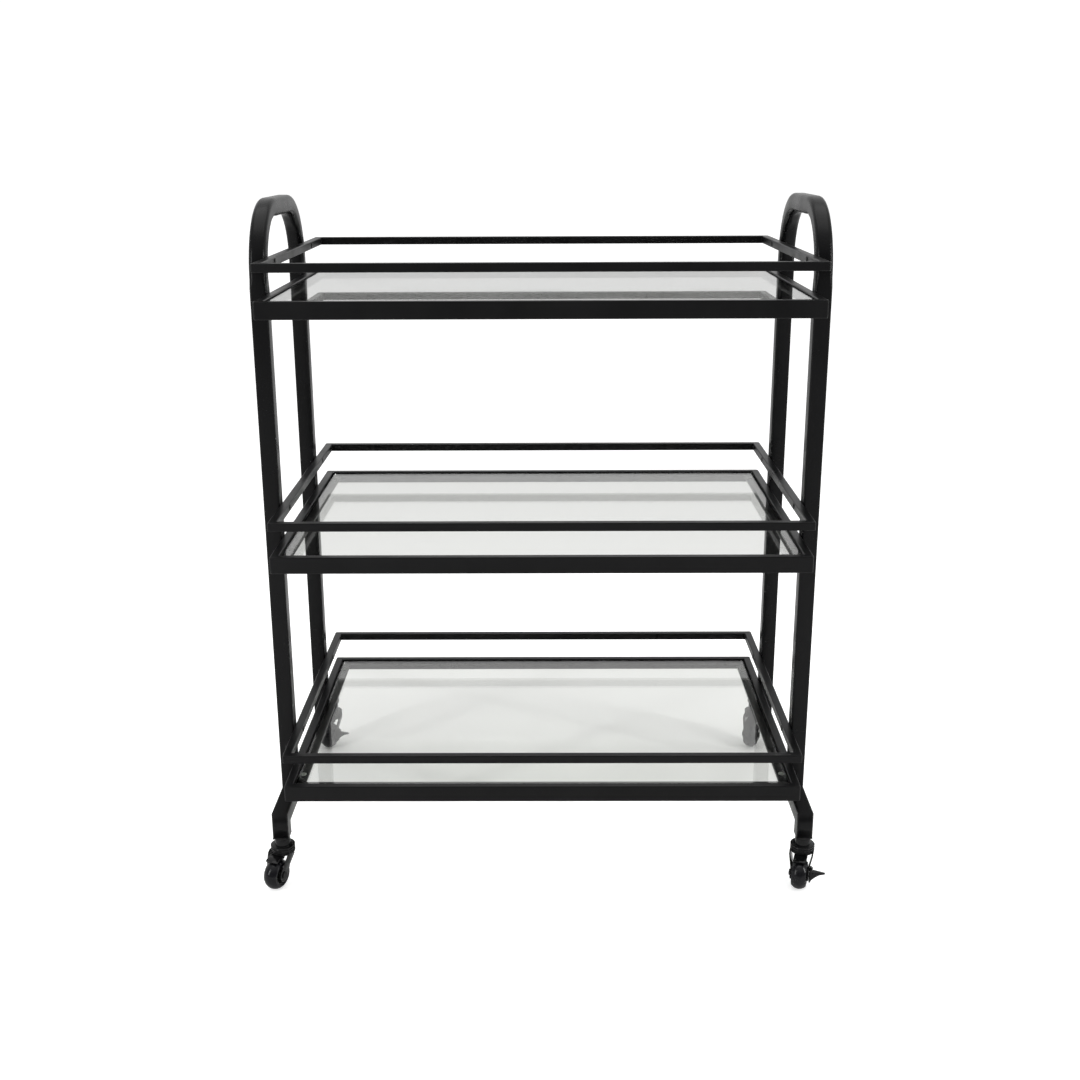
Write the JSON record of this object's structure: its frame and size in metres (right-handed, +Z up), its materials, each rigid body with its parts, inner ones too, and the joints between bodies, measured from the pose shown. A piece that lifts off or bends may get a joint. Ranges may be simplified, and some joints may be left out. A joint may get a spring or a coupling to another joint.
{
  "type": "bar cart on wheels",
  "caption": "Black metal bar cart with glass shelves inside raised guard rails, arched side handles and swivel casters with brakes.",
  "frame": {"origin": "on the floor, under the middle of the shelves", "axes": "+Z up, +X to the right across the shelves, +Y from the front to the back"},
  "size_m": [0.6958, 0.448, 0.83],
  "materials": {
    "black_paint": "semi-gloss powder coat",
    "glass": "polished",
    "clear_pad": "soft clear",
    "black_bolt": "black oxide",
    "zinc_steel": "zinc plated",
    "black_plastic": "gloss",
    "wheel_core": "satin",
    "tyre": "smooth polyurethane"
  },
  "bodies": {
    "cart": {"left_posts": "black_paint", "right_posts": "black_paint", "left_handle": "black_paint", "right_handle": "black_paint", "leg_jogs": "black_paint", "foot_tubes": "black_paint", "bottom_frame_long": "black_paint", "bottom_frame_ends": "black_paint", "bottom_ledge": "black_paint", "bottom_glass": "glass", "bottom_rail_long": "black_paint", "bottom_rail_ends": "black_paint", "middle_frame_long": "black_paint", "middle_frame_ends": "black_paint", "middle_ledge": "black_paint", "middle_glass": "glass", "middle_rail_long": "black_paint", "middle_rail_ends": "black_paint", "top_frame_long": "black_paint", "top_frame_ends": "black_paint", "top_ledge": "black_paint", "top_glass": "glass", "top_rail_long": "black_paint", "top_rail_ends": "black_paint", "glass_pads": "clear_pad", "frame_bolts": "black_bolt", "frame_inserts": "zinc_steel", "rail_bolts": "black_bolt", "rail_inserts": "zinc_steel", "foot_plugs": "black_plastic", "caster_stems": "zinc_steel", "stem_washers": "black_bolt"},
    "front_left_swivel": {"front_left_fork": "black_plastic", "front_left_axle": "black_bolt", "front_left_axle_nut": "black_bolt"},
    "front_left_wheel_body": {"front_left_wheel": "wheel_core", "front_left_tyre": "tyre"},
    "front_right_swivel": {"front_right_fork": "black_plastic", "front_right_axle": "black_bolt", "front_right_axle_nut": "black_bolt", "front_right_brake_rivet": "black_bolt"},
    "front_right_brake_lever": {"front_right_brake": "black_plastic"},
    "front_right_wheel_body": {"front_right_wheel": "wheel_core", "front_right_tyre": "tyre"},
    "rear_left_swivel": {"rear_left_fork": "black_plastic", "rear_left_axle": "black_bolt", "rear_left_axle_nut": "black_bolt", "rear_left_brake_rivet": "black_bolt"},
    "rear_left_brake_lever": {"rear_left_brake": "black_plastic"},
    "rear_left_wheel_body": {"rear_left_wheel": "wheel_core", "rear_left_tyre": "tyre"},
    "rear_right_swivel": {"rear_right_fork": "black_plastic", "rear_right_axle": "black_bolt", "rear_right_axle_nut": "black_bolt"},
    "rear_right_wheel_body": {"rear_right_wheel": "wheel_core", "rear_right_tyre": "tyre"}
  },
  "joints": [
    {"name": "front_left_swivel_turn", "type": "hinge", "parent": "cart", "child": "front_left_swivel", "pos_m": [-0.325, -0.194, 0.06], "axis": [0, 0, 1], "continuous": true},
    {"name": "front_left_wheel_spin", "type": "hinge", "parent": "front_left_swivel", "child": "front_left_wheel_body", "pos_m": [-0.33164, -0.20965, 0.019], "axis": [0.9205, -0.3907, 0], "continuous": true},
    {"name": "front_right_swivel_turn", "type": "hinge", "parent": "cart", "child": "front_right_swivel", "pos_m": [0.325, -0.194, 0.06], "axis": [0, 0, 1], "continuous": true},
    {"name": "front_right_wheel_spin", "type": "hinge", "parent": "front_right_swivel", "child": "front_right_wheel_body", "pos_m": [0.32003, -0.21026, 0.019], "axis": [0.9563, -0.2924, 0], "continuous": true},
    {"name": "front_right_brake_press", "type": "hinge", "parent": "front_right_swivel", "child": "front_right_brake_lever", "pos_m": [0.33412, -0.20829, 0.023], "axis": [0.9563, -0.2924, 0], "range_deg": [0, 10]},
    {"name": "rear_left_swivel_turn", "type": "hinge", "parent": "cart", "child": "rear_left_swivel", "pos_m": [-0.325, 0.204, 0.06], "axis": [0, 0, 1], "continuous": true},
    {"name": "rear_left_wheel_spin", "type": "hinge", "parent": "rear_left_swivel", "child": "rear_left_wheel_body", "pos_m": [-0.32795, 0.18726, 0.019], "axis": [0.9848, -0.1736, 0], "continuous": true},
    {"name": "rear_left_brake_press", "type": "hinge", "parent": "rear_left_swivel", "child": "rear_left_brake_lever", "pos_m": [-0.31421, 0.19093, 0.023], "axis": [0.9848, -0.1736, 0], "range_deg": [0, 10]},
    {"name": "rear_right_swivel_turn", "type": "hinge", "parent": "cart", "child": "rear_right_swivel", "pos_m": [0.325, 0.204, 0.06], "axis": [0, 0, 1], "continuous": true},
    {"name": "rear_right_wheel_spin", "type": "hinge", "parent": "rear_right_swivel", "child": "rear_right_wheel_body", "pos_m": [0.31863, 0.18824, 0.019], "axis": [0.9272, -0.3746, 0], "continuous": true}
  ]
}
